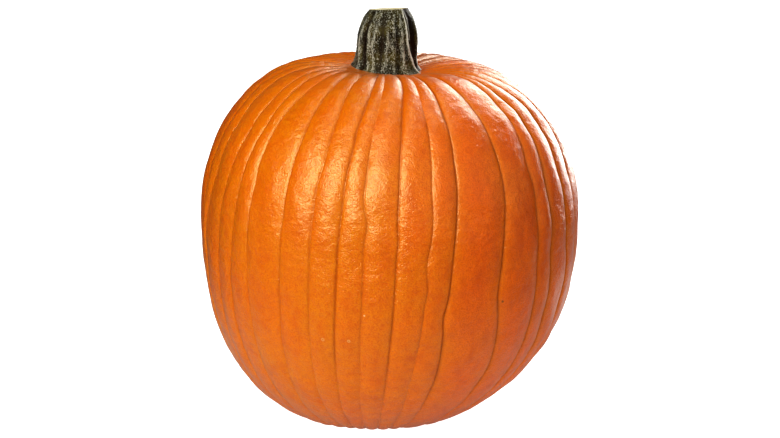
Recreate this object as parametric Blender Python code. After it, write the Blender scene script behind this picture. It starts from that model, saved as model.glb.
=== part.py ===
"""A field pumpkin: the ribbed fruit and its cut stalk, in metres, +Z up.

Longitude is in degrees from the front (-Y), positive towards +X. A level on the fruit is the
angle down from the stalk: 0 is the stalk seat, 90 the widest part, 180 the blossom end.
"""
import math

import bmesh
import bpy
from mathutils import Vector, noise

# Fruit, outside sizes over the rib crests
GIRTH_RADIUS = 0.1452
WIDEST_HEIGHT = 0.148
CROWN_RISE, CROWN_FULLNESS = 0.1396, 2.36
BASE_DROP, BASE_FULLNESS = 0.1576, 2.20
SEAT_DEPTH, SEAT_SPREAD = 0.0205, 0.0548
SEAT_TILT_X, SEAT_TILT_Y, SEAT_TILT_SPREAD = -0.11, 0.085, 0.040
CROWN_LEAN, FOOT_LEAN = -0.0035, -0.010
CROWN_TILT_X, CROWN_TILT_Y = -0.016, 0.022
LUMP_HEIGHT, LUMP_SIZE = 0.0012, 0.07

# Hollow round the blossom scar, inside the flat foot
SCAR_RADIUS, SCAR_DEPTH = 0.028, 0.004

# Ribs and the grooves between them
GROOVE_DEPTH = 0.0024
RIB_BULGE = 0.0012
SEAT_RADIUS, SEAT_FADE = 0.026, 0.03
GROOVE_LEVELS = (25, 50, 75, 100, 125)
FRONT_GROOVES = (
    # longitude at each groove level, then depth as a share of GROOVE_DEPTH
    (-81, -78, -79, -81, -82, 1.0),
    (-71, -69, -71, -75, -76, 1.0),
    (-56, -57, -61, -65, -66, 1.0),
    (-47, -49, -53, -57, -57, 0.9),
    (-39, -43, -46, -48, -48, 0.7),
    (-28, -30, -33, -35, -37, 0.7),
    (-18, -20, -23, -25, -26, 0.6),
    (-7, -11, -14, -16, -17, 0.9),
    (1, -4, -8, -8, -9, 0.4),
    (9, 5, 3, 1, 0, 0.9),
    (16, 14, 13, 11, 9, 0.5),
    (23, 22, 20, 18, 18, 1.1),
    (36, 37, 37, 35, 39, 1.1),
    (50, 52, 50, 50, 53, 0.8),
    (58, 59, 57, 58, 62, 1.3),
    (67, 69, 67, 69, 71, 1.4),
    (77, 79, 77, 79, 81, 1.3),
)
BACK_GROOVES = 19
BACK_FROM, BACK_TO = 89, 269
BACK_TWIST, BACK_SWAY, BACK_DEPTH_SPREAD = 4, 1.8, 0.3

# Stalk: radius at heights above its seat, and the slanted cut
STALK_HEIGHT = 0.0481
STALK_BASE_RADIUS, STALK_WAIST_RADIUS, STALK_TOP_RADIUS = 0.0272, 0.0224, 0.0143
FLARE_HEIGHT = 0.0050
SHOULDER_SHARE, SHOULDER_FULLNESS = 0.52, 2.1
STALK_LEAN = 0.0024
STALK_ANGLES, ANGLE_HEIGHT, ANGLE_TURN = 5, 0.05, 1
STALK_RIDGES, RIDGE_HEIGHT = 15, 0.025
CUT_SLANT_X, CUT_SLANT_Y, CUT_DISH = 0.04, -0.07, 0.0008

# Mesh fineness and clearances
COLUMNS_PER_RIB = (0.0, 0.25, 0.75)
FRUIT_RINGS, RING_CROWDING = 30, 1.15
STALK_COLUMNS, STALK_RINGS, STALK_CROWDING = 45, 10, 1.3
CUT_RING_SHARE = 0.6
STALK_GAP = 0.0005

TINY = 1e-9


def curve_through(values, position):
    """Smooth value at a position counted in steps along a list, level beyond both ends."""
    last = len(values) - 1
    position = min(max(position, 0.0), float(last))
    step = min(int(position), last - 1)
    before, start, end, after = (values[min(max(step + k, 0), last)] for k in (-1, 0, 1, 2))
    u = position - step
    rise_start, rise_end = (end - before) / 2, (after - start) / 2
    return (start * (1 + 2 * u) * (1 - u) ** 2 + end * u * u * (3 - 2 * u)
            + rise_start * u * (1 - u) ** 2 + rise_end * u * u * (u - 1))


def all_grooves():
    """Every groove round the fruit: its longitudes at the groove levels, and its depth share.

    The back grooves are evenly spread, then scattered a little by sines of their number.
    """
    grooves = [(row[:-1], row[-1]) for row in FRONT_GROOVES]
    for k in range(BACK_GROOVES):
        middle = BACK_FROM + (BACK_TO - BACK_FROM) * k / (BACK_GROOVES - 1) + BACK_SWAY * math.sin(2.4 * k)
        twist = BACK_TWIST * math.sin(1.3 * k)
        path = [middle + twist * (0.5 - n / 4) for n in range(len(GROOVE_LEVELS))]
        grooves.append((path, 1.0 + BACK_DEPTH_SPREAD * math.sin(1.9 * k)))
    return grooves


GROOVES = all_grooves()


def groove_longitude(index, level):
    """Longitude of a groove at a level; indexes past the last go on round the fruit."""
    turns, number = divmod(index, len(GROOVES))
    step = GROOVE_LEVELS[1] - GROOVE_LEVELS[0]
    path = GROOVES[number][0]
    return curve_through(path, (level - GROOVE_LEVELS[0]) / step) + 360 * turns


def meridian(level):
    """Radius and height of the smooth fruit at a level, before it is cut off flat."""
    angle = math.radians(level)
    up = level < 90
    fullness = CROWN_FULLNESS if up else BASE_FULLNESS
    radius = GIRTH_RADIUS * max(math.sin(angle), 0.0) ** (2 / fullness)
    reach = abs(math.cos(angle)) ** (2 / fullness)
    if not up:
        return radius, WIDEST_HEIGHT - BASE_DROP * reach
    seat = SEAT_DEPTH * math.exp(-(radius / SEAT_SPREAD) ** 2)
    return radius, WIDEST_HEIGHT + CROWN_RISE * reach - seat


def relief(rib, share, level, radius):
    """How far the skin stands out of the smooth fruit, part way across a rib."""
    left, right = GROOVES[rib][1], GROOVES[(rib + 1) % len(GROOVES)][1]
    depth = left if share < 0.5 else right
    nearness = max(0.0, 1 - 4 * min(share, 1 - share))
    bulge = RIB_BULGE * (4 * share * (1 - share) - 1)
    fade = min(1.0, max(0.0, (radius - SEAT_RADIUS) / SEAT_FADE))
    return fade * (bulge - GROOVE_DEPTH * depth * nearness)


def tilt_height(radius, rise, x, y):
    """How much the tilt of the crown and of the stalk's seat lifts the skin; rise is 1 at the top."""
    crown = max(rise, 0.0) ** 1.5 * (CROWN_TILT_X * x + CROWN_TILT_Y * y)
    near = math.exp(-(radius / SEAT_TILT_SPREAD) ** 2) if rise > 0 else 0.0
    return crown + near * (SEAT_TILT_X * x + SEAT_TILT_Y * y)


def skin_point(radius, height, longitude):
    """A point at a radius and height on the fruit, with its lean and the tilt of its crown."""
    angle = math.radians(longitude)
    rise = (height - WIDEST_HEIGHT) / CROWN_RISE
    lean = CROWN_LEAN * rise ** 2 if rise > 0 else FOOT_LEAN * (height / WIDEST_HEIGHT - 1) ** 2
    x = lean + radius * math.sin(angle)
    y = -radius * math.cos(angle)
    return Vector((x, y, height + tilt_height(radius, rise, x, y)))


def fruit_point(rib, share, level):
    """The skin at a share of the way across a rib, at a level."""
    left, right = groove_longitude(rib, level), groove_longitude(rib + 1, level)
    radius, height = meridian(level)
    above, below = meridian(max(level - 0.1, 0)), meridian(min(level + 0.1, 180))
    outward = Vector((above[1] - below[1], below[0] - above[0])).normalized()
    longitude = left + (right - left) * share
    stand = relief(rib, share, level, radius)
    where = skin_point(radius, height, longitude)
    stand += LUMP_HEIGHT * noise.noise(where / LUMP_SIZE) * min(1.0, radius / GIRTH_RADIUS)
    radius, height = radius + stand * outward.x, height + stand * outward.y
    hollow = SCAR_DEPTH * max(0.0, 1 - (radius / SCAR_RADIUS) ** 2) ** 2
    floor = hollow if level > 90 else 0.0
    return skin_point(max(radius, 0.0), max(height, floor), longitude)


def make_fruit():
    """A globe whose columns of faces are carried on to the ribs, and its foot pressed flat."""
    columns = len(GROOVES) * len(COLUMNS_PER_RIB)
    mesh = bmesh.new()
    bmesh.ops.create_uvsphere(mesh, u_segments=columns, v_segments=FRUIT_RINGS, radius=1)
    for vertex in mesh.verts:
        share = math.acos(max(-1.0, min(1.0, vertex.co.z))) / math.pi
        level = 180 * share ** RING_CROWDING
        turn = math.degrees(math.atan2(vertex.co.x, -vertex.co.y)) % 360
        column = round(turn / 360 * columns) % columns
        rib, part = divmod(column, len(COLUMNS_PER_RIB))
        vertex.co = fruit_point(rib, COLUMNS_PER_RIB[part], level)
    bmesh.ops.triangulate(mesh, faces=mesh.faces)
    return mesh


def stalk_radius(height):
    """Mean radius of the stalk at a height above its seat."""
    flare = (STALK_BASE_RADIUS - STALK_WAIST_RADIUS) * math.exp(-height / FLARE_HEIGHT)
    above = max(0.0, height / STALK_HEIGHT - SHOULDER_SHARE) / (1 - SHOULDER_SHARE)
    return STALK_WAIST_RADIUS + flare - (STALK_WAIST_RADIUS - STALK_TOP_RADIUS) * above ** SHOULDER_FULLNESS


def seat_height(x, y):
    """Height of the fruit's skin under the stalk."""
    radius = math.hypot(x - CROWN_LEAN, y)
    seat = SEAT_DEPTH * math.exp(-(radius / SEAT_SPREAD) ** 2)
    crown = CROWN_RISE * (1 - (radius / GIRTH_RADIUS) ** CROWN_FULLNESS) ** (1 / CROWN_FULLNESS)
    rise = (crown - seat) / CROWN_RISE
    return WIDEST_HEIGHT + crown - seat + tilt_height(radius, rise, x, y)


def make_stalk():
    """A turned stub whose sides are drawn out into ridges and whose underside fits the seat."""
    mesh = bmesh.new()
    outline = [(0, 0), (STALK_BASE_RADIUS / 2, 0)]
    for ring in range(STALK_RINGS + 1):
        height = STALK_HEIGHT * (ring / STALK_RINGS) ** STALK_CROWDING
        outline.append((stalk_radius(height), height))
    outline += [(STALK_TOP_RADIUS * CUT_RING_SHARE, STALK_HEIGHT), (0, STALK_HEIGHT)]
    points = [mesh.verts.new((radius, 0, height)) for radius, height in outline]
    edges = [mesh.edges.new(pair) for pair in zip(points, points[1:])]
    bmesh.ops.spin(mesh, geom=points + edges, cent=(0, 0, 0), axis=(0, 0, 1), steps=STALK_COLUMNS,
                   angle=2 * math.pi, use_merge=True)
    bmesh.ops.remove_doubles(mesh, verts=mesh.verts, dist=TINY)
    for vertex in mesh.verts:
        shape_stalk_vertex(vertex)
    bmesh.ops.recalc_face_normals(mesh, faces=mesh.faces)
    bmesh.ops.triangulate(mesh, faces=mesh.faces)
    return mesh


def shape_stalk_vertex(vertex):
    """Carry one point of the turned stub on to the ridged stalk."""
    x, y, height = vertex.co
    angle = math.atan2(x, -y)
    ridges = (ANGLE_HEIGHT * math.cos(STALK_ANGLES * angle - ANGLE_TURN)
              + RIDGE_HEIGHT * math.cos(STALK_RIDGES * angle))
    share = height / STALK_HEIGHT
    x, y = x * (1 + ridges) + CROWN_LEAN, y * (1 + ridges)
    seat = seat_height(x, y) + STALK_GAP
    radius = math.hypot(x - CROWN_LEAN, y)
    dish = CUT_DISH * max(0.0, 1 - (radius / STALK_TOP_RADIUS) ** 2)
    cut = seat_height(CROWN_LEAN, 0) + STALK_HEIGHT + CUT_SLANT_X * x + CUT_SLANT_Y * y - dish
    vertex.co = (x + STALK_LEAN * share, y, seat + (cut - seat) * share)


def colour_material(name, colour, roughness):
    """A plain Principled material."""
    material = bpy.data.materials.new(name)
    material.use_nodes = True
    shader = material.node_tree.nodes["Principled BSDF"]
    shader.inputs["Base Color"].default_value = (*colour, 1)
    shader.inputs["Roughness"].default_value = roughness
    shader.inputs["Metallic"].default_value = 0.0
    return material


def finish(name, mesh, shift, material):
    """Turn a bmesh into a named, smooth-shaded object, moved by the given shift."""
    bmesh.ops.translate(mesh, verts=mesh.verts, vec=shift)
    data = bpy.data.meshes.new(name)
    mesh.to_mesh(data)
    mesh.free()
    data.materials.append(material)
    data.shade_smooth()
    piece = bpy.data.objects.new(name, data)
    bpy.context.scene.collection.objects.link(piece)
    return piece


def shift_to_origin(mesh):
    """The move that puts the bottom centre of a mesh's box on the origin."""
    low = [min(vertex.co[axis] for vertex in mesh.verts) for axis in range(3)]
    high = [max(vertex.co[axis] for vertex in mesh.verts) for axis in range(3)]
    return Vector((-(low[0] + high[0]) / 2, -(low[1] + high[1]) / 2, -low[2]))


for old in list(bpy.data.objects):
    bpy.data.objects.remove(old)

fruit = make_fruit()
shift = shift_to_origin(fruit)
finish("fruit", fruit, shift, colour_material("pumpkin_rind", (0.78, 0.20, 0.02), 0.38))
finish("stem", make_stalk(), shift, colour_material("dry_stalk", (0.10, 0.09, 0.05), 0.75))
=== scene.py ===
"""A field pumpkin on a white floor: the ribbed, waxy fruit and its dry cut stalk.

Longitude on the fruit is in degrees from the front (-Y), positive towards +X. A level is the
angle down from the stalk: 0 at the stalk's seat, 90 at the widest part, 180 at the blossom end.
Lengths are in metres, unless a name ends in _MM.
"""

import math
from functools import lru_cache

import bmesh
import bpy
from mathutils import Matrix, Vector, noise


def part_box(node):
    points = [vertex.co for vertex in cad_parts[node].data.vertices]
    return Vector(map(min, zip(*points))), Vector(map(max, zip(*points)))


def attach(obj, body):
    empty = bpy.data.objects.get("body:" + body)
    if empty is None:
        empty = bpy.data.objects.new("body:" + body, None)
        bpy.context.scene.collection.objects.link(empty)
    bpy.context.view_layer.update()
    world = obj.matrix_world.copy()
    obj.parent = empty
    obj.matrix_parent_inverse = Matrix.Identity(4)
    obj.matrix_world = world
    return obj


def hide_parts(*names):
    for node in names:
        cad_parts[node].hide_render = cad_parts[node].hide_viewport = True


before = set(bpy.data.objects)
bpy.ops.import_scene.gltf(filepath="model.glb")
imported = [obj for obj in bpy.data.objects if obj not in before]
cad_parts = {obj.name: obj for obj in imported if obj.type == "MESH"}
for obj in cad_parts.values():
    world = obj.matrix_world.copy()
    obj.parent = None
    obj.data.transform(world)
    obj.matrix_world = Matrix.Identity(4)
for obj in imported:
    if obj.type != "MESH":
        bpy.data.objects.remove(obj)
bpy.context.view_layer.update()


# ---------------------------------------------------------------------------------------------
# Fruit. A pumpkin swells between its grooves, so the rind is a low globe with a sunken crown,
# drawn in along thirty-six grooves that wander a little. It is one grown piece: a globe is made,
# and every point of it is carried on to the ribbed skin.

GIRTH_RADIUS = 0.1452
WIDEST_HEIGHT = 0.148
CROWN_RISE, CROWN_FULLNESS = 0.1396, 2.36
BASE_DROP, BASE_FULLNESS = 0.1576, 2.20
SEAT_DEPTH, SEAT_SPREAD = 0.0205, 0.0548
SEAT_TILT_X, SEAT_TILT_Y, SEAT_TILT_SPREAD = -0.11, 0.085, 0.040
CROWN_LEAN, FOOT_LEAN = -0.0035, -0.010
CROWN_TILT_X, CROWN_TILT_Y, CROWN_TILT_POWER = -0.016, 0.022, 1.5
LUMP_HEIGHT, LUMP_SIZE = 0.0012, 0.07
DENT_HEIGHT, DENT_SIZE, DENT_SQUASH = 0.0010, 0.015, 0.6
DIMPLE_HEIGHT, DIMPLE_SIZE = 0.00022, 0.0075
SCAR_RADIUS, SCAR_DEPTH = 0.028, 0.004
BLOSSOM_RADIUS, BLOSSOM_EDGE, BLOSSOM_LEVEL = 0.008, 0.002, 150
SEAT_RADIUS, RIBS_FULL_RADIUS = 0.022, 0.05

VALLEY_DEPTH, VALLEY_WIDTH = 0.0010, 0.0034
CREASE_DEPTH, CREASE_WIDTH = 0.0005, 0.0006
# Width of the dark red line of painted shade along each crease
CREASE_SHADE_WIDTH = 0.0010
RIB_BULGE = 0.0011
GROOVE_LEVELS = (25, 50, 75, 100, 125)
# Levels, from a groove's start and end, over which it sets in and fades
GROOVE_STARTS = (-14, 4)
GROOVE_FADES, FADED_SHARE = (-12, 16), 0.8
WAVER, WAVER_LEVELS = 0.30, 17
WANDER, WANDER_LEVELS = 0.45, 15
FRONT_GROOVES = (
    # longitude at each groove level, depth share, and the levels where it starts and fades
    (-81, -78, -78.5, -81, -82, 0.8, 0, 150),
    (-71.5, -69.2, -70.8, -77, -77, 0.8, 0, 150),
    (-56.3, -56.7, -61, -65, -66.5, 0.7, 0, 118),
    (-47.5, -49.2, -52.6, -56.6, -57.2, 0.65, 0, 118),
    (-38, -43.6, -45.9, -47.7, -48, 0.6, 38, 96),
    (-28.3, -30.4, -33, -34.8, -36.7, 0.7, 0, 110),
    (-18, -19.9, -23, -24.8, -25.6, 0.6, 0, 110),
    (-6.9, -10.6, -14, -16.3, -17.2, 0.9, 0, 118),
    (-1, -5, -7.6, -8, -9, 0.5, 64, 112),
    (9.3, 5.1, 2.8, 1.5, 0.4, 0.9, 0, 124),
    (16, 14.5, 13.2, 10.7, 9.4, 0.5, 48, 108),
    (23.1, 22.5, 20.5, 17.9, 18.5, 1.0, 0, 132),
    (35.8, 37.5, 37.1, 35.2, 39, 1.0, 0, 134),
    (52.5, 51.8, 50.4, 50.3, 52.8, 0.8, 28, 140),
    (56.5, 59.2, 57.3, 57.8, 62.3, 1.3, 0, 140),
    (64.5, 69.4, 67.2, 69.4, 71, 1.4, 0, 150),
    (75, 79.8, 77, 79, 81, 1.3, 0, 150),
)
KINKS = (
    # groove number, level, how many levels long, degrees sideways
    (1, 88, 6, -1.5), (2, 51, 4, -0.7), (3, 66, 9, -0.5), (4, 67, 5, -0.7), (5, 33, 4, 0.6),
    (6, 64, 5, 0.6), (7, 52, 4, -0.4), (8, 82, 4, 1.3), (9, 86, 3, 0.5), (10, 73, 4, -0.4),
    (10, 91, 3, -0.8), (10, 97, 3, 0.5), (11, 105, 4, -0.9), (12, 61, 8, 0.3), (12, 100, 5, -0.8),
    (13, 67, 4, -0.9), (14, 47, 6, 0.6), (14, 86, 4, 0.9), (15, 45, 7, 0.9), (15, 69, 5, -0.7),
    (16, 47, 6, 0.8), (16, 72, 5, -0.8),
)
BACK_GROOVES = 19
BACK_FROM, BACK_TO = 89, 269
BACK_TWIST, BACK_SWAY, BACK_DEPTH_SPREAD = 4, 1.8, 0.3
BACK_LATE_START, BACK_END, BACK_END_SPREAD = 45, 128, 18
BACK_KINK_FROM, BACK_KINK_SPREAD, BACK_KINK_LENGTH, BACK_KINK_TURN = 60, 40, 4, 0.8

FOLD_WIDTH, FOLD_REACH, FOLD_END = 0.0025, 0.02, 0.1
FOLDS = (
    # short folds between the grooves: longitude and level of both ends, then the depth
    (28.3, 79, 28.0, 92, 0.00030), (17.0, 33, 10.5, 39, 0.00025), (-3.5, 53, -7.0, 64, 0.00035),
    (-27.5, 60, -28.5, 76, 0.00040), (43.5, 50, 43.5, 60, 0.00035), (44.5, 88, 43.0, 101, 0.00025),
)
BUMPS = (
    # longitude, level, radius and height of single bumps
    (19.6, 103.5, 0.0045, 0.0011), (39.8, 55.5, 0.0050, 0.0006), (2.0, 88, 0.0040, 0.0005),
    (-9.5, 57, 0.0080, 0.0006), (12.5, 92.5, 0.0040, 0.0005), (-49.0, 60, 0.0060, 0.0005),
)
BUMP_REACH = 3

# Shares of a rib, up to its middle, where the columns of the mesh lie
HALF_COLUMNS = (0.0, 0.020, 0.048, 0.095, 0.17, 0.285, 0.42)
FRUIT_RINGS = 190
SLOPE_STEP = 0.1


def curve_through(values, position):
    """Smooth value at a position counted in steps along a list, level beyond both ends."""
    last = len(values) - 1
    position = min(max(position, 0.0), float(last))
    step = min(int(position), last - 1)
    before, start, end, after = (values[min(max(step + k, 0), last)] for k in (-1, 0, 1, 2))
    u = position - step
    rise_start, rise_end = (end - before) / 2, (after - start) / 2
    return (start * (1 + 2 * u) * (1 - u) ** 2 + end * u * u * (3 - 2 * u)
            + rise_start * u * (1 - u) ** 2 + rise_end * u * u * (u - 1))


def smooth_step(value, low, high):
    """0 below low, 1 above high, and a smooth rise between."""
    u = min(1.0, max(0.0, (value - low) / (high - low)))
    return u * u * (3 - 2 * u)


def all_grooves():
    """Every groove round the fruit: path, depth share, start and end levels, and its kinks.

    The back grooves follow the front ones in spacing. The sines only scatter their values.
    """
    grooves = [[row[:5], row[5], row[6], row[7], []] for row in FRONT_GROOVES]
    for number, level, length, sideways in KINKS:
        grooves[number][4].append((level, length, sideways))
    for k in range(BACK_GROOVES):
        middle = BACK_FROM + (BACK_TO - BACK_FROM) * k / (BACK_GROOVES - 1)
        middle += BACK_SWAY * math.sin(2.4 * k)
        twist = BACK_TWIST * math.sin(1.3 * k)
        path = [middle + twist * (0.5 - n / 4) for n in range(len(GROOVE_LEVELS))]
        depth = 1.0 + BACK_DEPTH_SPREAD * math.sin(1.9 * k)
        start = BACK_LATE_START if k % 5 == 2 else 0
        end = BACK_END + BACK_END_SPREAD * math.sin(3.1 * k)
        kink_level = BACK_KINK_FROM + BACK_KINK_SPREAD * abs(math.sin(2.2 * k))
        kink = (kink_level, BACK_KINK_LENGTH, BACK_KINK_TURN * math.cos(1.7 * k))
        grooves.append([path, depth, start, end, [kink]])
    return grooves


GROOVES = all_grooves()


@lru_cache(maxsize=None)
def groove_longitude(index, level):
    """Longitude of a groove at a level; indexes past the last go on round the fruit.

    Its wander is noise, read in another place for each groove.
    """
    turns, number = divmod(index, len(GROOVES))
    path, kinks = GROOVES[number][0], GROOVES[number][4]
    position = (level - GROOVE_LEVELS[0]) / (GROOVE_LEVELS[1] - GROOVE_LEVELS[0])
    longitude = curve_through(path, position)
    for at, length, sideways in kinks:
        longitude += sideways * math.exp(-((level - at) / length) ** 2)
    longitude += WANDER * noise.noise(Vector((level / WANDER_LEVELS, 7.3 * number, 0)))
    return longitude + 360 * turns


@lru_cache(maxsize=None)
def groove_strength(number, level):
    """Depth of a groove at a level, as a share of the full valley depth."""
    depth, start, end = GROOVES[number][1:4]
    waver = 1 + WAVER * noise.noise(Vector((level / WAVER_LEVELS, 3.1 * number, 5)))
    starts = smooth_step(level, start + GROOVE_STARTS[0], start + GROOVE_STARTS[1]) if start else 1.0
    fades = smooth_step(level, end + GROOVE_FADES[0], end + GROOVE_FADES[1])
    return depth * waver * starts * (1 - FADED_SHARE * fades)


@lru_cache(maxsize=None)
def meridian(level):
    """Radius and height of the smooth fruit at a level, before it is cut off flat."""
    angle = math.radians(level)
    up = level < 90
    fullness = CROWN_FULLNESS if up else BASE_FULLNESS
    radius = GIRTH_RADIUS * max(math.sin(angle), 0.0) ** (2 / fullness)
    reach = abs(math.cos(angle)) ** (2 / fullness)
    if not up:
        return radius, WIDEST_HEIGHT - BASE_DROP * reach
    seat = SEAT_DEPTH * math.exp(-(radius / SEAT_SPREAD) ** 2)
    return radius, WIDEST_HEIGHT + CROWN_RISE * reach - seat


def tilt_height(radius, rise, x, y):
    """How much the tilt of the crown and of the stalk's seat lifts the skin; rise is 1 at the top."""
    crown = max(rise, 0.0) ** CROWN_TILT_POWER * (CROWN_TILT_X * x + CROWN_TILT_Y * y)
    near = math.exp(-(radius / SEAT_TILT_SPREAD) ** 2) if rise > 0 else 0.0
    return crown + near * (SEAT_TILT_X * x + SEAT_TILT_Y * y)


def skin_point(radius, height, longitude):
    """A point at a radius and height on the fruit, with its lean and the tilt of its crown."""
    angle = math.radians(longitude)
    rise = (height - WIDEST_HEIGHT) / CROWN_RISE
    lean = CROWN_LEAN * rise ** 2 if rise > 0 else FOOT_LEAN * (height / WIDEST_HEIGHT - 1) ** 2
    x = lean + radius * math.sin(angle)
    y = -radius * math.cos(angle)
    return Vector((x, y, height + tilt_height(radius, rise, x, y)))


def fold_depth(longitude, level, radius):
    """How far the short folds and the single bumps move the skin out, at a place on it."""
    along = math.radians(1) * GIRTH_RADIUS
    across = math.radians(1) * radius
    stand = 0.0
    for lon_a, level_a, lon_b, level_b, depth in FOLDS:
        run = Vector(((lon_b - lon_a) * across, (level_b - level_a) * along))
        here = Vector(((longitude - lon_a) * across, (level - level_a) * along))
        share = min(1.0, max(0.0, here.dot(run) / run.length_squared))
        distance = (here - run * share).length
        if distance < FOLD_REACH:
            taper = math.sin(math.pi * (FOLD_END + (1 - 2 * FOLD_END) * share))
            stand -= depth * math.exp(-distance / FOLD_WIDTH) * taper
    for lon, at, size, height in BUMPS:
        distance = math.hypot((longitude - lon) * across, (level - at) * along)
        if distance < BUMP_REACH * size:
            stand += height * math.exp(-(distance / size) ** 2)
    return stand


def fruit_point(rib, share, level):
    """The skin at a share of the way across a rib, and how deep in crease and valley it lies."""
    left, right = groove_longitude(rib, level), groove_longitude(rib + 1, level)
    radius, height = meridian(level)
    above, below = meridian(max(level - SLOPE_STEP, 0)), meridian(min(level + SLOPE_STEP, 180))
    outward = Vector((above[1] - below[1], below[0] - above[0])).normalized()
    longitude = left + (right - left) * share
    width = math.radians(right - left) * radius
    stand, crease, valley = 0.0, 0.0, 0.0
    for distance, number in ((share * width, rib), ((1 - share) * width, (rib + 1) % len(GROOVES))):
        strength = groove_strength(number, level)
        stand -= VALLEY_DEPTH * strength * math.exp(-distance / VALLEY_WIDTH)
        stand -= CREASE_DEPTH * strength * math.exp(-(distance / CREASE_WIDTH) ** 2)
        # crease carries the dark red line of painted shade along the grooves
        crease += strength * math.exp(-(distance / CREASE_SHADE_WIDTH) ** 2)
        valley += strength * math.exp(-distance / VALLEY_WIDTH)
    stand += RIB_BULGE * (4 * share * (1 - share) - 1)
    fade = smooth_step(radius, SEAT_RADIUS, RIBS_FULL_RADIUS)
    stand = fade * stand + fold_depth(longitude, level, radius)
    where = skin_point(radius, height, longitude)
    calm = min(1.0, radius / GIRTH_RADIUS)
    stand += LUMP_HEIGHT * noise.noise(where / LUMP_SIZE) * calm
    tall = Vector((where.x, where.y, where.z * DENT_SQUASH))
    stand += DENT_HEIGHT * noise.noise(tall / DENT_SIZE) * calm
    stand += DIMPLE_HEIGHT * noise.noise(where / DIMPLE_SIZE)
    radius, height = radius + stand * outward.x, height + stand * outward.y
    hollow = SCAR_DEPTH * max(0.0, 1 - (radius / SCAR_RADIUS) ** 2) ** 2
    floor = hollow if level > 90 else 0.0
    where = skin_point(max(radius, 0.0), max(height, floor), longitude)
    return where, min(1.0, crease * fade), min(1.0, valley * fade)


def box_of(points):
    """Lowest and highest corners of a list of points."""
    low = Vector([min(point[axis] for point in points) for axis in range(3)])
    high = Vector([max(point[axis] for point in points) for axis in range(3)])
    return low, high


def make_fruit():
    """The globe carried on to the ribbed skin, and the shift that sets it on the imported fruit."""
    shares = HALF_COLUMNS + tuple(1 - share for share in reversed(HALF_COLUMNS[1:]))
    columns = len(GROOVES) * len(shares)
    mesh = bmesh.new()
    bmesh.ops.create_uvsphere(mesh, u_segments=columns, v_segments=FRUIT_RINGS, radius=1)
    crease_layer = mesh.verts.layers.float.new("crease")
    valley_layer = mesh.verts.layers.float.new("valley")
    cork_layer = mesh.verts.layers.float.new("cork")
    for vertex in mesh.verts:
        angle = math.acos(max(-1.0, min(1.0, vertex.co.z)))
        level = round(angle / math.pi * FRUIT_RINGS) * 180 / FRUIT_RINGS
        turn = math.degrees(math.atan2(vertex.co.x, -vertex.co.y)) % 360
        column = round(turn / 360 * columns) % columns
        rib, part = divmod(column, len(shares))
        vertex.co, vertex[crease_layer], vertex[valley_layer] = fruit_point(rib, shares[part], level)
        if level > BLOSSOM_LEVEL:
            radius = math.hypot(vertex.co.x - FOOT_LEAN, vertex.co.y)
            edge = smooth_step(radius, BLOSSOM_RADIUS, BLOSSOM_RADIUS + BLOSSOM_EDGE)
            vertex[cork_layer] = 1 - edge
    low, high = box_of([vertex.co for vertex in mesh.verts])
    cad_low, cad_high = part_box("fruit")
    move = (cad_low + cad_high - low - high) / 2
    move.z = cad_low.z - low.z
    bmesh.ops.translate(mesh, verts=mesh.verts, vec=move)
    return mesh, move


def finished(name, mesh, *materials):
    """Turn a bmesh into a smooth-shaded object at the origin."""
    data = bpy.data.meshes.new(name)
    mesh.to_mesh(data)
    mesh.free()
    for material in materials:
        data.materials.append(material)
    data.shade_smooth()
    piece = bpy.data.objects.new(name, data)
    bpy.context.scene.collection.objects.link(piece)
    return piece


def srgb(code):
    """A hex colour as the linear colour that the shaders take."""
    parts = [int(code[k:k + 2], 16) / 255 for k in (1, 3, 5)]
    return (*[p / 12.92 if p <= 0.04045 else ((p + 0.055) / 1.055) ** 2.4 for p in parts], 1)


def add_node(tree, kind, inputs, **settings):
    """Add a node. Inputs maps each socket to its value, or to the output that feeds it."""
    made = tree.nodes.new(kind)
    for name, value in settings.items():
        setattr(made, name, value)
    for socket, value in inputs.items():
        if isinstance(value, bpy.types.NodeSocket):
            tree.links.new(value, made.inputs[socket])
        else:
            made.inputs[socket].default_value = value
    return made


def new_material(name):
    """An empty material: its tree, its Principled shader and its Object coordinates."""
    material = bpy.data.materials.new(name)
    material.use_nodes = True
    tree = material.node_tree
    place = add_node(tree, "ShaderNodeTexCoord", {}).outputs["Object"]
    return material, tree, tree.nodes["Principled BSDF"], place


fruit_mesh, to_frame = make_fruit()

# Waxed pumpkin rind: a thin, tough skin with a natural bloom of wax. It gives a broad soft sheen
# over deep orange, amber beside the grooves, with red smears and pore dots, a few small scars,
# and a crumple that breaks up the highlights. The dark red line down each crease is painted shade.
# The amber towards the key-lit front left is partly the rind's own tone and partly painted light,
# and the heavier red smears towards the shaded right are partly its own and partly painted shade.
# Real pores are finer, and are drawn a millimetre apart so that they show.

# The crease colour is painted shade: a dark red line down each groove
RIND_ORANGE, RIND_AMBER, RIND_RED = "#E25A01", "#D47602", "#BE4201"
RIND_VALLEY, RIND_CREASE_SHADE, RIND_CORK = "#D67A02", "#8E1E00", "#B79A6C"
WAX_TINT = "#FFF45A"
# The amber ramp runs towards the key-lit front left: partly the rind's own tone, partly painted light
AMBER_FROM, AMBER_TO, AMBER_SWING = 0.09, -0.03, 0.35
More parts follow.
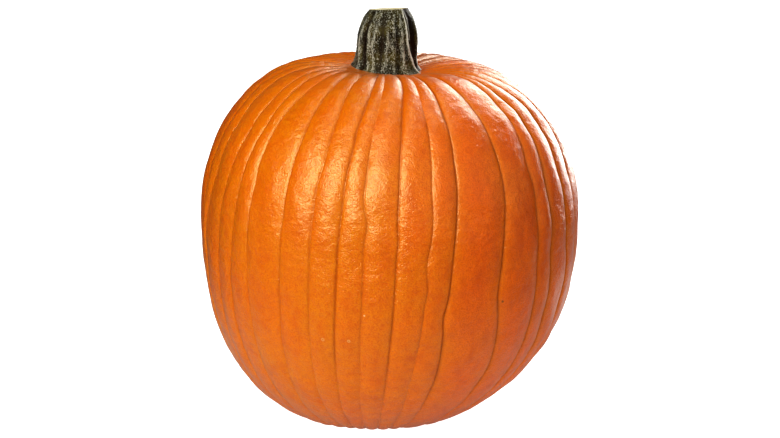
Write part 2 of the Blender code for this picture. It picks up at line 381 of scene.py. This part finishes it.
# Least and most red smear, from the key-lit left to the shaded right: partly painted shade
SMEAR_LEAST, SMEAR_MOST = 0.3, 0.6
MOTTLE_RED, PORE_RED = 0.5, 0.7
VALLEY_SHARE, CREASE_SHARE = 0.42, 0.5
MARKS = (
    # longitude, level, radius and colour of small scars; a ring is a pale spot with a smaller one in it
    (-21.0, 111, 0.0015, "#D9A060"), (-21.0, 111, 0.0009, "#CC6C02"), (-12.5, 111, 0.0014, "#D9A060"),
    (-12.5, 111, 0.0008, "#CC6C02"), (-7.5, 103, 0.0009, "#E8B070"), (36.0, 101, 0.0011, "#7A3A08"),
)
MARK_CORE = 0.6
BLOTCH_MM, SMEAR_MM, MOTTLE_MM, CRUMPLE_MM, PORE_MM = 45, 9, 7, 6.5, 1.0
SMEAR_SQUASH, CRUMPLE_SQUASH = 0.4, 1.25
CRUMPLE_DEPTH, PORE_DEPTH = 0.0009, 0.00035
GLOW_DEPTH = 0.004


def skin_spot(mesh, longitude, level):
    """The point of the meshed skin nearest to a longitude and a level."""
    aim = skin_point(*meridian(level), longitude) + to_frame
    return min((vertex.co.copy() for vertex in mesh.verts), key=lambda where: (where - aim).length)


def rind_material(mesh):
    """The material of the rind, with its small scars where they lie on the mesh."""
    material, tree, shader, place = new_material("waxed_pumpkin_rind")
    blotch = add_node(tree, "ShaderNodeTexNoise", {"Vector": place, "Scale": 1000 / BLOTCH_MM,
                                                   "Detail": 3.0, "Roughness": 0.55})
    mottle = add_node(tree, "ShaderNodeTexNoise", {"Vector": place, "Scale": 1000 / MOTTLE_MM,
                                                   "Detail": 4.0, "Roughness": 0.6})
    pore = add_node(tree, "ShaderNodeTexNoise", {"Vector": place, "Scale": 1000 / PORE_MM,
                                                 "Detail": 1.0, "Roughness": 0.6})
    across = add_node(tree, "ShaderNodeSeparateXYZ", {"Vector": place}).outputs["X"]
    # Amber towards the key-lit front left: partly the rind's own tone, partly painted light
    lit_side_amber = add_node(tree, "ShaderNodeMapRange", {"Value": across, "From Min": AMBER_FROM,
                                                  "From Max": AMBER_TO, "To Min": -AMBER_SWING,
                                                  "To Max": AMBER_SWING})
    warm = add_node(tree, "ShaderNodeMath", {0: lit_side_amber.outputs[0], 1: blotch.outputs["Fac"]},
                    operation="ADD", use_clamp=True)
    red = add_node(tree, "ShaderNodeMapRange", {"Value": mottle.outputs["Fac"], "From Min": 0.5,
                                                "From Max": 0.8, "To Max": MOTTLE_RED})
    along = add_node(tree, "ShaderNodeMapping", {"Vector": place, "Scale": (1, 1, SMEAR_SQUASH)})
    smear = add_node(tree, "ShaderNodeTexNoise", {"Vector": along.outputs[0],
                                                  "Scale": 1000 / SMEAR_MM, "Detail": 3.0,
                                                  "Roughness": 0.6})
    # Red smears grow heavier towards the shaded right: partly the rind's own tone, partly painted shade
    shaded_side_smear = add_node(tree, "ShaderNodeMapRange", {"Value": across, "From Min": AMBER_TO,
                                                  "From Max": AMBER_FROM, "To Min": SMEAR_LEAST,
                                                  "To Max": SMEAR_MOST})
    deep = add_node(tree, "ShaderNodeMapRange", {"Value": smear.outputs["Fac"], "From Min": 0.48,
                                                 "From Max": 0.72, "To Max": shaded_side_smear.outputs[0]})
    dots = add_node(tree, "ShaderNodeMapRange", {"Value": pore.outputs["Fac"], "From Min": 0.6,
                                                 "From Max": 0.3, "To Max": PORE_RED})
    valley = add_node(tree, "ShaderNodeAttribute", {}, attribute_name="valley")
    band = add_node(tree, "ShaderNodeMath", {0: valley.outputs["Fac"], 1: VALLEY_SHARE},
                    operation="MULTIPLY")
    # The crease attribute mixes in a dark red line of painted shade along the grooves
    crease = add_node(tree, "ShaderNodeAttribute", {}, attribute_name="crease")
    crease_shade = add_node(tree, "ShaderNodeMath", {0: crease.outputs["Fac"], 1: CREASE_SHARE},
                    operation="MULTIPLY")
    cork = add_node(tree, "ShaderNodeAttribute", {}, attribute_name="cork")

    layers = [(warm.outputs[0], RIND_AMBER), (red.outputs[0], RIND_RED), (deep.outputs[0], RIND_RED),
              (dots.outputs[0], RIND_RED), (band.outputs[0], RIND_VALLEY),
              (crease_shade.outputs[0], RIND_CREASE_SHADE), (cork.outputs["Fac"], RIND_CORK)]
    for longitude, level, size, colour in MARKS:
        away = add_node(tree, "ShaderNodeVectorMath", {0: place, 1: skin_spot(mesh, longitude, level)},
                        operation="DISTANCE")
        inside = add_node(tree, "ShaderNodeMapRange", {"Value": away.outputs["Value"],
                                                       "From Min": size, "From Max": MARK_CORE * size})
        layers.append((inside.outputs[0], colour))
    body = srgb(RIND_ORANGE)
    for share, colour in layers:
        body = add_node(tree, "ShaderNodeMix", {0: share, 6: body, 7: srgb(colour)},
                        data_type="RGBA").outputs[2]
    tree.links.new(body, shader.inputs["Base Color"])

    dull = add_node(tree, "ShaderNodeMapRange", {"Value": mottle.outputs["Fac"], "To Min": 0.26,
                                                 "To Max": 0.36})
    tree.links.new(dull.outputs[0], shader.inputs["Roughness"])
    flat = add_node(tree, "ShaderNodeMapping", {"Vector": place, "Scale": (1, 1, CRUMPLE_SQUASH)})
    crumple = add_node(tree, "ShaderNodeTexNoise", {"Vector": flat.outputs[0],
                                                    "Scale": 1000 / CRUMPLE_MM, "Detail": 2.0,
                                                    "Roughness": 0.5})
    folds = add_node(tree, "ShaderNodeBump", {"Height": crumple.outputs["Fac"],
                                              "Distance": CRUMPLE_DEPTH})
    fine = add_node(tree, "ShaderNodeBump", {"Height": pore.outputs["Fac"], "Distance": PORE_DEPTH,
                                             "Normal": folds.outputs[0]})
    tree.links.new(fine.outputs[0], shader.inputs["Normal"])
    tree.links.new(fine.outputs[0], shader.inputs["Coat Normal"])
    shader.inputs["IOR"].default_value = 1.5
    shader.inputs["Specular IOR Level"].default_value = 0.6
    shader.inputs["Specular Tint"].default_value = srgb(WAX_TINT)
    shader.inputs["Coat Weight"].default_value = 0.65
    shader.inputs["Coat Roughness"].default_value = 0.26
    shader.inputs["Subsurface Weight"].default_value = 0.12
    shader.inputs["Subsurface Radius"].default_value = (1.0, 0.35, 0.08)
    shader.inputs["Subsurface Scale"].default_value = GLOW_DEPTH
    return material


fruit = finished("pumpkin_rind", fruit_mesh, rind_material(fruit_mesh))
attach(fruit, "root")
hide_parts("fruit")


# ---------------------------------------------------------------------------------------------
# Stalk. The hard, five-angled stalk has dried as it ripened: corky ridges run down it and splay
# out into a flared foot on the crown, and it was cut across with a knife at the top. An outline
# is turned into a stub, and every point of the stub is carried on to the ridged skin.

STALK_HEIGHT = 0.0481
STALK_BASE_RADIUS, STALK_WAIST_RADIUS, STALK_TOP_RADIUS = 0.0272, 0.0221, 0.0143
FLARE_HEIGHT = 0.0050
SHOULDER_SHARE, SHOULDER_FULLNESS = 0.52, 2.1
STALK_LEAN = 0.0024
CUT_SLANT_X, CUT_SLANT_Y, CUT_DISH = 0.04, -0.07, 0.0008
ROOT_SINK = 0.0012
STALK_RIDGES = (
    # longitude at the foot, the waist and the top, then height and half width; gutters go inward
    (-92, -92, -92, 0.0008, 0.0030), (-56, -67, -53, 0.0010, 0.0020), (-36, -40, -35, 0.0009, 0.0016),
    (-22, -28, -19, 0.0008, 0.0016), (-5, 0, -2, 0.0006, 0.0018), (16, 14, 14, 0.0008, 0.0016),
    (39, 31, 28, 0.0010, 0.0020), (66, 43, 41, 0.0022, 0.0006), (72, 53, 50, 0.0009, 0.0006),
    (93, 93, 93, 0.0012, 0.0040), (118, 118, 118, 0.0010, 0.0020), (137, 137, 137, 0.0014, 0.0016),
    (158, 158, 158, 0.0009, 0.0020), (181, 181, 181, 0.0013, 0.0018), (203, 203, 203, 0.0010, 0.0022),
    (224, 224, 224, 0.0015, 0.0015), (247, 247, 247, 0.0010, 0.0020),
    (84, 67, 65, -0.0040, 0.0046), (-12, -9, -9, -0.0010, 0.0022), (-45, -51, -44, -0.0013, 0.0024),
    (26, 22, 20, -0.0007, 0.0018), (170, 170, 170, -0.0010, 0.0030),
)
RELIEF_AT_ENDS, RELIEF_SWELL, RELIEF_SPAN = 0.55, 0.45, 1.2
KEEN_EDGES = (
    # longitude at the foot, the waist and the top, half width, and the shares of the height it spans
    (66, 43, 41, 0.0003, -1.0, 2.0), (72, 53, 50, 0.0003, 0.6, 2.0), (94, 90, 88, 0.0006, -1.0, 0.16),
)
KEEN_FADE = 0.1
FLARE_TOES = (
    # longitude, extra reach and spread in radians
    (64, 0.0022, 0.22), (92, 0.0014, 0.20), (20, 0.0006, 0.4), (150, 0.0025, 0.3), (215, 0.0020, 0.3),
)
GRAIN_HEIGHT, GRAIN_ACROSS, GRAIN_ALONG = 0.0007, 0.004, 0.02
PIT_HEIGHT, PIT_SIZE = 0.0003, 0.0018
RIDGE_MEAN, RIDGE_RANGE, RIDGE_TOP = 0.5, 0.0025, 0.9
STALK_COLUMNS, STALK_RINGS, RING_CROWDING = 300, 90, 1.2
CUT_RINGS = 24
MERGE_GAP, LEVEL_GAP = 1e-7, 1e-6


def stalk_radius(height):
    """Mean radius of the stalk at a height above its seat."""
    above = max(0.0, height / STALK_HEIGHT - SHOULDER_SHARE) / (1 - SHOULDER_SHARE)
    return STALK_WAIST_RADIUS - (STALK_WAIST_RADIUS - STALK_TOP_RADIUS) * above ** SHOULDER_FULLNESS


def turn_between(a, b):
    """Smallest angle from b to a, in degrees."""
    return (a - b + 180) % 360 - 180


def nearness(longitude, share, path, width):
    """1 on a path up the stalk, falling away over its half width."""
    at = curve_through(path, 2 * share)
    away = math.radians(turn_between(longitude, at)) * stalk_radius(share * STALK_HEIGHT)
    return math.exp(-(away / width) ** 2)


def stalk_stand(longitude, share):
    """How far the stalk's skin stands out of its mean radius, at a share of its height."""
    stand = 0.0
    for *path, height, width in STALK_RIDGES:
        stand += height * nearness(longitude, share, path, width)
    swell = math.sin(math.pi * min(1, RELIEF_SPAN * share))
    return stand * (RELIEF_AT_ENDS + RELIEF_SWELL * swell)


def keen_edge(longitude, share):
    """1 on the pale, sharp edges of the stalk and 0 away from them."""
    most = 0.0
    for *path, width, start, end in KEEN_EDGES:
        span = smooth_step(share, start - KEEN_FADE, start)
        span *= 1 - smooth_step(share, end, end + KEEN_FADE)
        most = max(most, span * nearness(longitude, share, path, width))
    return most


def flare(longitude, height):
    """How far the foot of the stalk spreads at a height, further where a ridge ends in a toe."""
    reach = STALK_BASE_RADIUS - STALK_WAIST_RADIUS
    for at, extra, spread in FLARE_TOES:
        reach += extra * math.exp(-(math.radians(turn_between(longitude, at)) / spread) ** 2)
    return reach * math.exp(-height / FLARE_HEIGHT)


def seat_height(x, y):
    """Height of the fruit's skin under the stalk."""
    radius = math.hypot(x - CROWN_LEAN, y)
    seat = SEAT_DEPTH * math.exp(-(radius / SEAT_SPREAD) ** 2)
    crown = CROWN_RISE * (1 - (radius / GIRTH_RADIUS) ** CROWN_FULLNESS) ** (1 / CROWN_FULLNESS)
    rise = (crown - seat) / CROWN_RISE
    return WIDEST_HEIGHT + crown - seat + tilt_height(radius, rise, x, y)


def shape_stalk_point(radius, height, turn):
    """Carry one point of the turned stub on to the ridged stalk."""
    longitude = math.degrees(turn)
    share = min(1.0, height / STALK_HEIGHT)
    mean = stalk_radius(height)
    rim = mean + stalk_stand(longitude, share) + flare(longitude, height)
    where = Vector((radius * math.sin(turn), -radius * math.cos(turn), height))
    fibre = Vector((where.x / GRAIN_ACROSS, where.y / GRAIN_ACROSS, height / GRAIN_ALONG))
    grain = GRAIN_HEIGHT * noise.noise(fibre) + PIT_HEIGHT * noise.noise(where / PIT_SIZE)
    out = rim * radius / mean + grain * min(1.0, radius / mean) ** 2
    x, y = out * math.sin(turn) + CROWN_LEAN, -out * math.cos(turn)
    seat = seat_height(x, y) - ROOT_SINK
    dish = CUT_DISH * max(0.0, 1 - (radius / mean) ** 2)
    cut = seat_height(CROWN_LEAN, 0) + STALK_HEIGHT + CUT_SLANT_X * x + CUT_SLANT_Y * y - dish
    return Vector((x + STALK_LEAN * share, y, seat + (cut - seat) * share))


def make_stalk():
    """A turned stub whose sides are drawn out into ridges and whose foot fits the crown."""
    mesh = bmesh.new()
    outline = [(0, 0), (STALK_WAIST_RADIUS / 2, 0)]
    for ring in range(STALK_RINGS + 1):
        height = STALK_HEIGHT * (ring / STALK_RINGS) ** RING_CROWDING
        outline.append((stalk_radius(height), height))
    for ring in range(1, CUT_RINGS + 1):
        outline.append((STALK_TOP_RADIUS * (1 - ring / CUT_RINGS), STALK_HEIGHT))
    points = [mesh.verts.new((radius, 0, height)) for radius, height in outline]
    edges = [mesh.edges.new(pair) for pair in zip(points, points[1:])]
    bmesh.ops.spin(mesh, geom=points + edges, cent=(0, 0, 0), axis=(0, 0, 1), steps=STALK_COLUMNS,
                   angle=2 * math.pi, use_merge=True)
    bmesh.ops.remove_doubles(mesh, verts=mesh.verts, dist=MERGE_GAP)
    ridge_layer = mesh.verts.layers.float.new("ridge")
    keen_layer = mesh.verts.layers.float.new("keen")
    cut_layer = mesh.verts.layers.float.new("cut")
    for vertex in mesh.verts:
        x, y, height = vertex.co
        radius, turn = math.hypot(x, y), math.atan2(x, -y)
        longitude, share = math.degrees(turn), height / STALK_HEIGHT
        ridge = RIDGE_MEAN + stalk_stand(longitude, share) / RIDGE_RANGE
        vertex[ridge_layer] = min(RIDGE_TOP, ridge)
        vertex[keen_layer] = keen_edge(longitude, share)
        on_cut = height > STALK_HEIGHT - LEVEL_GAP
        vertex[cut_layer] = (1 - radius / STALK_TOP_RADIUS) if on_cut else -(1 - share)
        vertex.co = shape_stalk_point(radius, height, turn)
    bmesh.ops.recalc_face_normals(mesh, faces=mesh.faces)
    bmesh.ops.translate(mesh, verts=mesh.verts, vec=to_frame)
    return mesh


# Dried pumpkin stalk: woody, dark green-brown fibre with corky grey streaks and specks on its
# ridges, brown gutters and pale sharp edges, almost matt. The knife cut shows cream, pithy wood
# inside a brown rim.

STALK_DARK, STALK_GREY, STALK_OLIVE, STALK_BROWN = "#0E0C04", "#BCBAA6", "#443C12", "#140905"
STALK_EDGE, CUT_CREAM, CUT_PITH, CUT_RIM = "#E8E5D6", "#EDE2B4", "#CDBA84", "#8A7A50"
STALK_TINT = "#FFE8B8"
STAIN_MM, STREAK_MM, SPECKLE_MM = 9.09, 2.4, 0.85
STREAK_SQUASH, SPECKLE_SQUASH = 0.16, 0.6
STREAK_DEPTH, SPECKLE_DEPTH = 0.0007, 0.0005
RIDGE_STREAKS, RIDGE_SPECKLES = 0.5, 0.2


def stalk_material():
    """The material of the stalk's skin and of its cut top."""
    material, tree, shader, place = new_material("dried_pumpkin_stalk")
    along = add_node(tree, "ShaderNodeMapping", {"Vector": place, "Scale": (1, 1, STREAK_SQUASH)})
    streak = add_node(tree, "ShaderNodeTexNoise", {"Vector": along.outputs[0],
                                                   "Scale": 1000 / STREAK_MM, "Detail": 5.0,
                                                   "Roughness": 0.65})
    flecks = add_node(tree, "ShaderNodeMapping", {"Vector": place, "Scale": (1, 1, SPECKLE_SQUASH)})
    speckle = add_node(tree, "ShaderNodeTexNoise", {"Vector": flecks.outputs[0],
                                                    "Scale": 1000 / SPECKLE_MM, "Detail": 2.0,
                                                    "Roughness": 0.7})
    stain = add_node(tree, "ShaderNodeTexNoise", {"Vector": place, "Scale": 1000 / STAIN_MM,
                                                  "Detail": 2.0})
    ridge = add_node(tree, "ShaderNodeAttribute", {}, attribute_name="ridge")
    keen = add_node(tree, "ShaderNodeAttribute", {}, attribute_name="keen")
    cut = add_node(tree, "ShaderNodeAttribute", {}, attribute_name="cut")

    olive = add_node(tree, "ShaderNodeMapRange", {"Value": stain.outputs["Fac"],
                                                  "From Min": 0.45, "From Max": 0.7})
    gutter = add_node(tree, "ShaderNodeMapRange", {"Value": ridge.outputs["Fac"], "From Min": 0.42,
                                                   "From Max": 0.1})
    high = add_node(tree, "ShaderNodeMath", {0: ridge.outputs["Fac"], 1: RIDGE_STREAKS,
                                             2: streak.outputs["Fac"]}, operation="MULTIPLY_ADD")
    pale = add_node(tree, "ShaderNodeMapRange", {"Value": high.outputs[0], "From Min": 0.84,
                                                 "From Max": 1.12})
    raised = add_node(tree, "ShaderNodeMath", {0: ridge.outputs["Fac"], 1: RIDGE_SPECKLES,
                                               2: speckle.outputs["Fac"]}, operation="MULTIPLY_ADD")
    spots = add_node(tree, "ShaderNodeMapRange", {"Value": raised.outputs[0], "From Min": 0.66,
                                                  "From Max": 0.76, "To Max": 0.75})
    skin = srgb(STALK_DARK)
    for share, colour in ((olive.outputs[0], STALK_OLIVE), (gutter.outputs[0], STALK_BROWN),
                          (pale.outputs[0], STALK_GREY), (spots.outputs[0], STALK_GREY),
                          (keen.outputs["Fac"], STALK_EDGE)):
        skin = add_node(tree, "ShaderNodeMix", {0: share, 6: skin, 7: srgb(colour)},
                        data_type="RGBA").outputs[2]

    rim = add_node(tree, "ShaderNodeMapRange", {"Value": cut.outputs["Fac"], "From Min": 0.02,
                                                "From Max": 0.16})
    wood = add_node(tree, "ShaderNodeMix", {0: rim.outputs[0], 6: srgb(CUT_RIM),
                                            7: srgb(CUT_CREAM)}, data_type="RGBA")
    wood = add_node(tree, "ShaderNodeMix", {0: spots.outputs[0], 6: wood.outputs[2],
                                            7: srgb(CUT_PITH)}, data_type="RGBA")
    on_cut = add_node(tree, "ShaderNodeMapRange", {"Value": cut.outputs["Fac"], "From Min": -0.015,
                                                   "From Max": 0.03})
    colour = add_node(tree, "ShaderNodeMix", {0: on_cut.outputs[0], 6: skin, 7: wood.outputs[2]},
                      data_type="RGBA")
    tree.links.new(colour.outputs[2], shader.inputs["Base Color"])
    rough = add_node(tree, "ShaderNodeBump", {"Height": streak.outputs["Fac"],
                                              "Distance": STREAK_DEPTH})
    fine = add_node(tree, "ShaderNodeBump", {"Height": speckle.outputs["Fac"],
                                             "Distance": SPECKLE_DEPTH, "Normal": rough.outputs[0]})
    tree.links.new(fine.outputs[0], shader.inputs["Normal"])
    shader.inputs["Roughness"].default_value = 0.42
    shader.inputs["Specular IOR Level"].default_value = 0.25
    shader.inputs["Specular Tint"].default_value = srgb(STALK_TINT)
    return material


stalk = finished("pumpkin_stalk", make_stalk(), stalk_material())
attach(stalk, "root")
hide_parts("stem")


# ---------------------------------------------------------------------------------------------
# Studio: a white sweep under the fruit, a big soft key light at the front left, a strip behind
# on the right that rims the ribs, a small top light, and four weak fills that the wax does not
# mirror.

FLOOR_SIZE, FLOOR_GAP = 12.0, 0.0002
PALE_TO, DIM_FROM = 0.30, 0.80
FLOOR_DIM, FLOOR_PALE = "#303030", "#C4C4C2"
IMAGE_TOWARDS, IMAGE_FROM, IMAGE_TO = (0.6, 0.8, 0.0), 0.2, 0.4
IMAGE_FRONT, IMAGE_BACK = 0.3, 1.4
GLOW_TO, GLOW_FROM, GLOW = 0.12, 0.45, 0.5
WHITE_NEAR, WHITE_FAR = 0.95, 1.4
LIGHTS = (
    # name, azimuth, elevation, distance, width, height, power, and whether the wax mirrors it
    ("key_softbox", -31, 28, 1.5, 0.85, 1.05, 21, True),
    ("back_strip", 149, 25, 1.6, 0.75, 1.7, 23, True),
    ("overhead_light", 15, 82, 1.4, 0.45, 0.45, 3, True),
    ("back_fill", -160, 18, 2.0, 1.0, 1.0, 10, False),
    ("front_fill", -35, 5, 2.0, 1.2, 0.8, 1.8, False),
    ("left_fill", -85, 3, 1.6, 0.6, 0.3, 2.2, False),
    ("right_fill", 85, 2, 1.6, 0.6, 0.3, 2.5, False),
)
SKY_TOWARDS, SKY_FROM = (0.68, -0.73, 0.08), 0.3
SKY_DIM, SKY_BRIGHT = 0.03, 0.85
bpy.context.scene.view_settings.view_transform = "Standard"
bpy.context.scene.view_settings.look = "Medium High Contrast"


def make_floor():
    """A white floor that glows a little, so the contact shadow stays faint.

    It is white to the camera. In the wax its image is dim, except behind the fruit on the right.
    """
    material, tree, shader, place = new_material("white_studio_floor")
    reach = add_node(tree, "ShaderNodeVectorMath", {0: place}, operation="LENGTH").outputs["Value"]
    near = add_node(tree, "ShaderNodeMapRange", {"Value": reach, "From Min": DIM_FROM,
                                                 "From Max": PALE_TO},
                    interpolation_type="SMOOTHSTEP")
    ray = add_node(tree, "ShaderNodeLightPath", {})
    behind = add_node(tree, "ShaderNodeVectorMath", {0: place, 1: IMAGE_TOWARDS},
                      operation="DOT_PRODUCT")
    image = add_node(tree, "ShaderNodeMapRange", {"Value": behind.outputs["Value"],
                                                  "From Min": IMAGE_FROM, "From Max": IMAGE_TO,
                                                  "To Min": IMAGE_FRONT, "To Max": IMAGE_BACK})
    shown = add_node(tree, "ShaderNodeMix", {0: ray.outputs["Is Glossy Ray"], 2: 1.0,
                                             3: image.outputs[0]})
    lit = add_node(tree, "ShaderNodeMath", {0: near.outputs[0], 1: shown.outputs[0]},
                   operation="MULTIPLY")
    paint = add_node(tree, "ShaderNodeMix", {0: lit.outputs[0], 6: srgb(FLOOR_DIM),
                                             7: srgb(FLOOR_PALE)}, data_type="RGBA")
    tree.links.new(paint.outputs[2], shader.inputs["Base Color"])
    shader.inputs["Roughness"].default_value = 0.9
    shader.inputs["Specular IOR Level"].default_value = 0.0
    shader.inputs["Emission Color"].default_value = (1, 1, 1, 1)
    close = add_node(tree, "ShaderNodeMapRange", {"Value": reach, "From Min": GLOW_FROM,
                                                  "From Max": GLOW_TO, "To Max": GLOW},
                     interpolation_type="SMOOTHSTEP")
    glow = add_node(tree, "ShaderNodeMath", {0: close.outputs[0], 1: shown.outputs[0]},
                    operation="MULTIPLY")
    white = add_node(tree, "ShaderNodeMapRange", {"Value": near.outputs[0], "To Min": WHITE_FAR,
                                                  "To Max": WHITE_NEAR})
    strength = add_node(tree, "ShaderNodeMix", {0: ray.outputs["Is Camera Ray"],
                                                2: glow.outputs[0], 3: white.outputs[0]})
    tree.links.new(strength.outputs[0], shader.inputs["Emission Strength"])
    mesh = bmesh.new()
    bmesh.ops.create_grid(mesh, x_segments=1, y_segments=1, size=FLOOR_SIZE / 2)
    bmesh.ops.translate(mesh, verts=mesh.verts, vec=(0, 0, -FLOOR_GAP))
    return finished("studio_floor", mesh, material)


def add_soft_light(name, azimuth, elevation, distance, width, height, power, mirrored):
    """A rectangular light that faces the fruit's middle. Azimuth is a longitude on the fruit."""
    light = bpy.data.lights.new(name, "AREA")
    light.shape = "RECTANGLE"
    light.size, light.size_y, light.energy = width, height, power
    lamp = bpy.data.objects.new(name, light)
    turn, rise = math.radians(azimuth), math.radians(elevation)
    away = Vector((math.sin(turn) * math.cos(rise), -math.cos(turn) * math.cos(rise), math.sin(rise)))
    lamp.location = Vector((0, 0, WIDEST_HEIGHT)) + away * distance
    lamp.rotation_euler = away.to_track_quat("Z", "Y").to_euler()
    lamp.visible_camera = False
    lamp.visible_glossy = mirrored
    bpy.context.scene.collection.objects.link(lamp)


def make_world():
    """White where it is seen; as light, brightest from the front right."""
    world = bpy.data.worlds.new("white_studio")
    world.use_nodes = True
    bpy.context.scene.world = world
    tree = world.node_tree
    tree.nodes.clear()
    way = add_node(tree, "ShaderNodeTexCoord", {}).outputs["Generated"]
    ahead = add_node(tree, "ShaderNodeVectorMath", {0: way, 1: SKY_TOWARDS},
                     operation="DOT_PRODUCT")
    level = add_node(tree, "ShaderNodeMapRange", {"Value": ahead.outputs["Value"],
                                                  "From Min": SKY_FROM, "From Max": 1.0,
                                                  "To Min": SKY_DIM, "To Max": SKY_BRIGHT})
    seen = add_node(tree, "ShaderNodeLightPath", {}).outputs["Is Camera Ray"]
    strength = add_node(tree, "ShaderNodeMix", {0: seen, 2: level.outputs[0], 3: WHITE_FAR})
    sky = add_node(tree, "ShaderNodeBackground", {"Strength": strength.outputs[0]})
    add_node(tree, "ShaderNodeOutputWorld", {"Surface": sky.outputs[0]})


make_floor()
for light in LIGHTS:
    add_soft_light(*light)
make_world()


# ---------------------------------------------------------------------------------------------
# Camera: a long lens straight in front of the fruit and a little above it, aimed at its middle,
# with room round it on both sides.

VIEW_DISTANCE, VIEW_ELEVATION = 2.4, 10.5
VIEW_AIM_HEIGHT = 0.1527
VIEW_WIDTH = 0.601
VIEW_END = 50
SENSOR_WIDTH = 36


def make_camera():
    """Aim the camera at the fruit's middle, with the view width it needs there."""
    data = bpy.data.cameras.new("view")
    data.sensor_width = SENSOR_WIDTH
    data.lens = SENSOR_WIDTH * VIEW_DISTANCE / VIEW_WIDTH
    data.clip_end = VIEW_END
    camera = bpy.data.objects.new("view", data)
    rise = math.radians(VIEW_ELEVATION)
    away = Vector((0, -math.cos(rise), math.sin(rise)))
    aim = Vector((0, 0, VIEW_AIM_HEIGHT)) + to_frame
    camera.location = aim + away * VIEW_DISTANCE
    camera.rotation_euler = away.to_track_quat("Z", "Y").to_euler()
    bpy.context.scene.collection.objects.link(camera)
    bpy.context.scene.camera = camera


make_camera()
